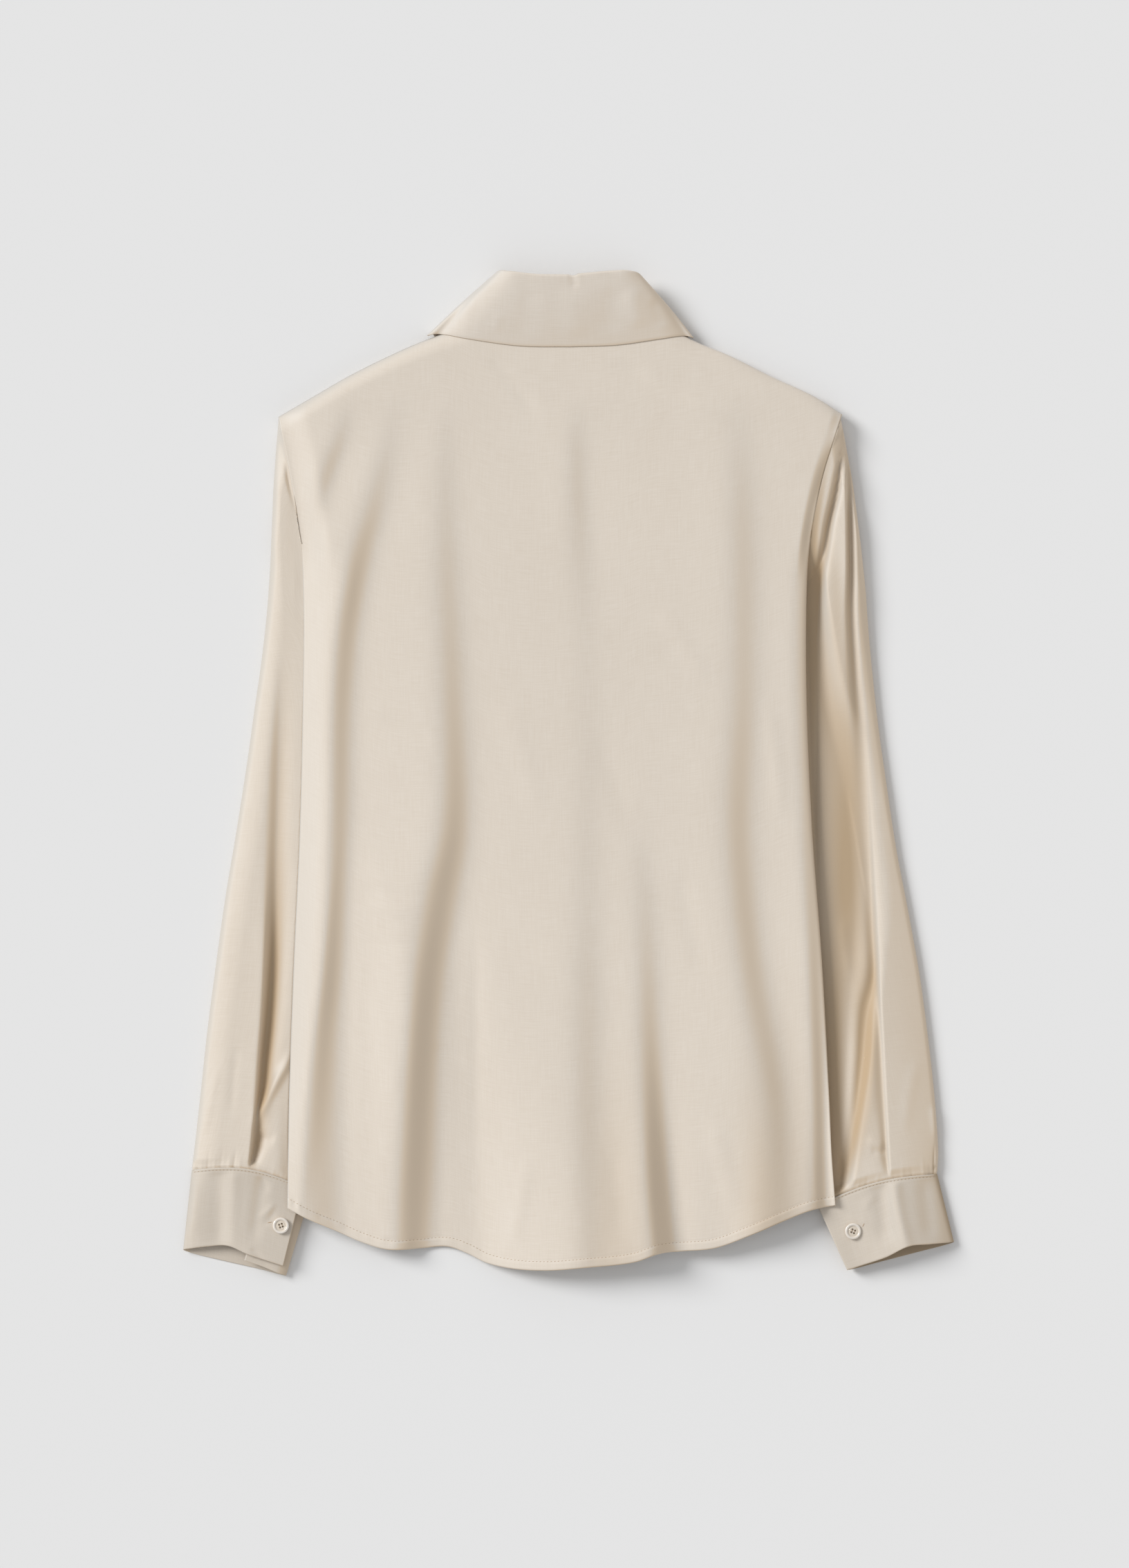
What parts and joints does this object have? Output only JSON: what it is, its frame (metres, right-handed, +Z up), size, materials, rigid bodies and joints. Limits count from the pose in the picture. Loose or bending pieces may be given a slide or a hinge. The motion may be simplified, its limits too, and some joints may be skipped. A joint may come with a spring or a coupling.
{
  "type": "women's long-sleeved shirt",
  "caption": "Cream satin-weave viscose shirt with a turned-down collar, buttoned cuffs and a shallow shirt-tail hem, laid out flat on its front.",
  "frame": {"origin": "on the surface the shirt lies on, under the middle of its bounding box", "axes": "+X to the right of someone looking down at the back with the collar away from them, which is the wearer's right; +Y from the hem to the collar; +Z up, away from the surface"},
  "size_m": [0.5514, 0.7184, 0.0235],
  "materials": {
    "viscose_satin": "soft satin-weave viscose, light cream, with faint slubs and a low sheen",
    "fused_viscose": "the same viscose in two plies over a light interlining, a little flatter and crisper",
    "clear_resin": "cloudy translucent resin with a soft polish"
  },
  "bodies": {
    "root": {"back": "viscose_satin", "front_right": "viscose_satin", "front_left": "viscose_satin", "sleeve_left": "viscose_satin", "sleeve_right": "viscose_satin", "cuff_left": "fused_viscose", "cuff_right": "fused_viscose", "collar_fall": "fused_viscose", "collar_stand": "fused_viscose", "front_button_1": "clear_resin", "front_button_2": "clear_resin", "front_button_3": "clear_resin", "front_button_4": "clear_resin", "front_button_5": "clear_resin", "front_button_6": "clear_resin", "front_button_7": "clear_resin", "cuff_button_left": "clear_resin", "cuff_button_right": "clear_resin"}
  },
  "joints": []
}
